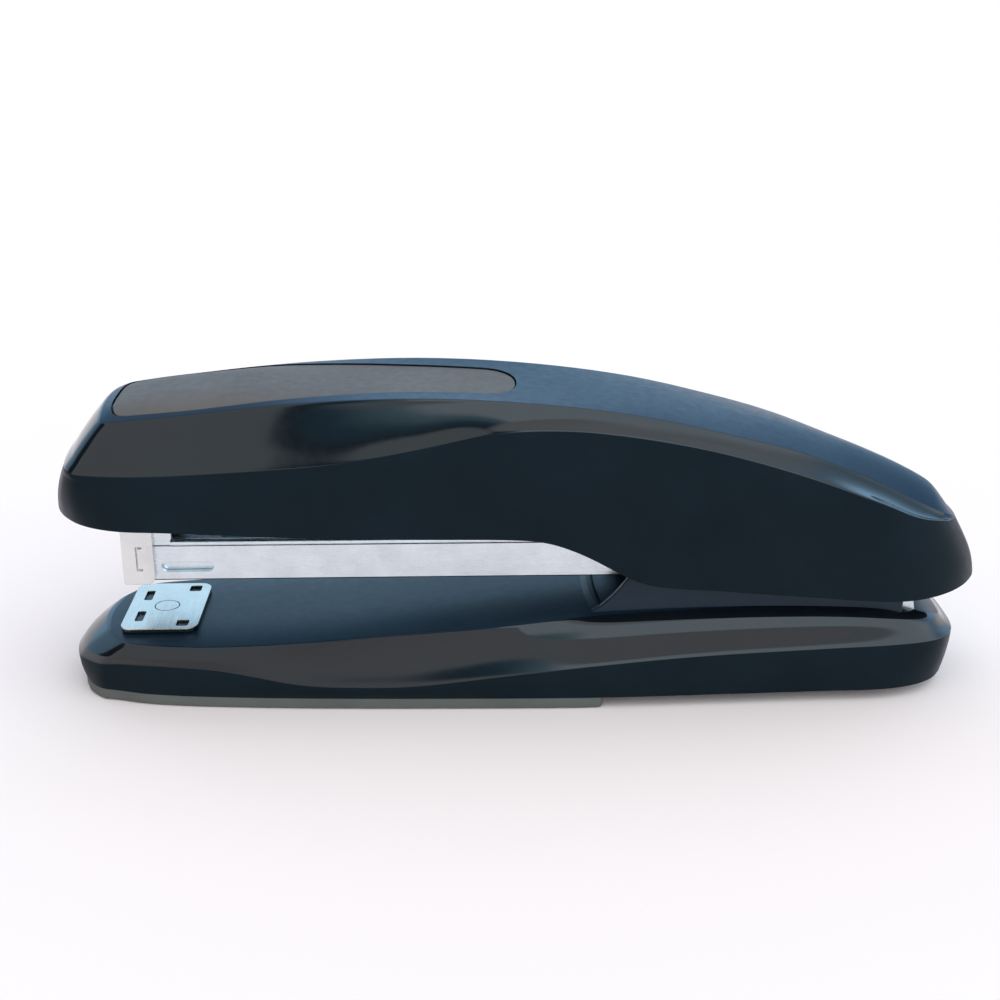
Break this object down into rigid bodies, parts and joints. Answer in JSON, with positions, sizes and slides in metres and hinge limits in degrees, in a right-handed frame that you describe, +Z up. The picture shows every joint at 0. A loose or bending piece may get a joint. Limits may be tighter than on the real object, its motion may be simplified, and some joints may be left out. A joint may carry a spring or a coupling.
{
  "type": "stapler",
  "caption": "Full-strip desk stapler: curved press handle with an inlaid soft pad, steel magazine hinged at the rear, and a low base with a turnable anvil.",
  "frame": {"origin": "on the desk under the middle of the stapler, halfway along its overall length and width", "axes": "+X from the nose to the hinge end, +Y across the width, +Z up"},
  "size_m": [0.1718, 0.0372, 0.0583],
  "materials": {
    "shell_plastic": "glossy blue-black moulded plastic",
    "base_plastic": "glossy blue-black moulded plastic with a satin deck",
    "soft_grip": "matte brown-grey soft-touch inlay",
    "sole_rubber": "matte brown-grey non-slip sole",
    "zinc_steel": "bright plated sheet steel",
    "front_steel": "satin nickel-plated steel",
    "anvil_steel": "nickel-plated",
    "dark_steel": "oiled blued sheet steel",
    "spring_wire": "drawn spring wire",
    "black_acetal": "matte slider plastic"
  },
  "bodies": {
    "base": {"base_shell": "base_plastic", "base_frame": "dark_steel", "hinge_pin": "zinc_steel", "pin_clips": "spring_wire", "frame_screws": "zinc_steel", "base_pad": "sole_rubber", "rear_foot": "sole_rubber", "rear_sole": "black_acetal", "lift_spring": "spring_wire", "anvil_spring": "spring_wire"},
    "magazine": {"magazine_rail": "zinc_steel", "front_plate": "front_steel", "staple_core": "zinc_steel", "guide_rod": "zinc_steel", "rod_stop": "black_acetal", "rod_nose_clip": "zinc_steel", "pusher_spring": "spring_wire"},
    "pusher": {"pusher": "black_acetal"},
    "handle": {"handle_cover": "shell_plastic", "handle_pad": "soft_grip", "handle_channel": "dark_steel", "handle_screws": "zinc_steel", "driver_blade": "dark_steel", "blade_rivet": "zinc_steel", "handle_spring": "spring_wire"},
    "anvil": {"anvil_plate": "anvil_steel", "anvil_stem": "anvil_steel", "anvil_button": "black_acetal"}
  },
  "joints": [
    {"name": "magazine_swing", "type": "hinge", "parent": "base", "child": "magazine", "pos_m": [0.066, 0, 0.0255], "axis": [0, 1, 0], "range_deg": [-3.3, 4], "stiffness_Nm_per_rad": 6, "springref_deg": 1.72, "deforming": ["lift_spring"]},
    {"name": "handle_swing", "type": "hinge", "parent": "magazine", "child": "handle", "pos_m": [0.066, 0, 0.0255], "axis": [0, 1, 0], "range_deg": [-3, 22], "stiffness_Nm_per_rad": 3, "springref_deg": 1.72, "deforming": ["handle_spring"]},
    {"name": "pusher_slide", "type": "slide", "parent": "magazine", "child": "pusher", "axis": [1, 0, 0], "range_m": [0, 0.1], "stiffness_N_per_m": 15, "springref_m": -0.04, "deforming": ["pusher_spring"]},
    {"name": "anvil_turn", "type": "hinge", "parent": "base", "child": "anvil", "pos_m": [-0.068, 0, 0.0126], "axis": [0, 0, 1], "range_deg": [0, 180]}
  ]
}
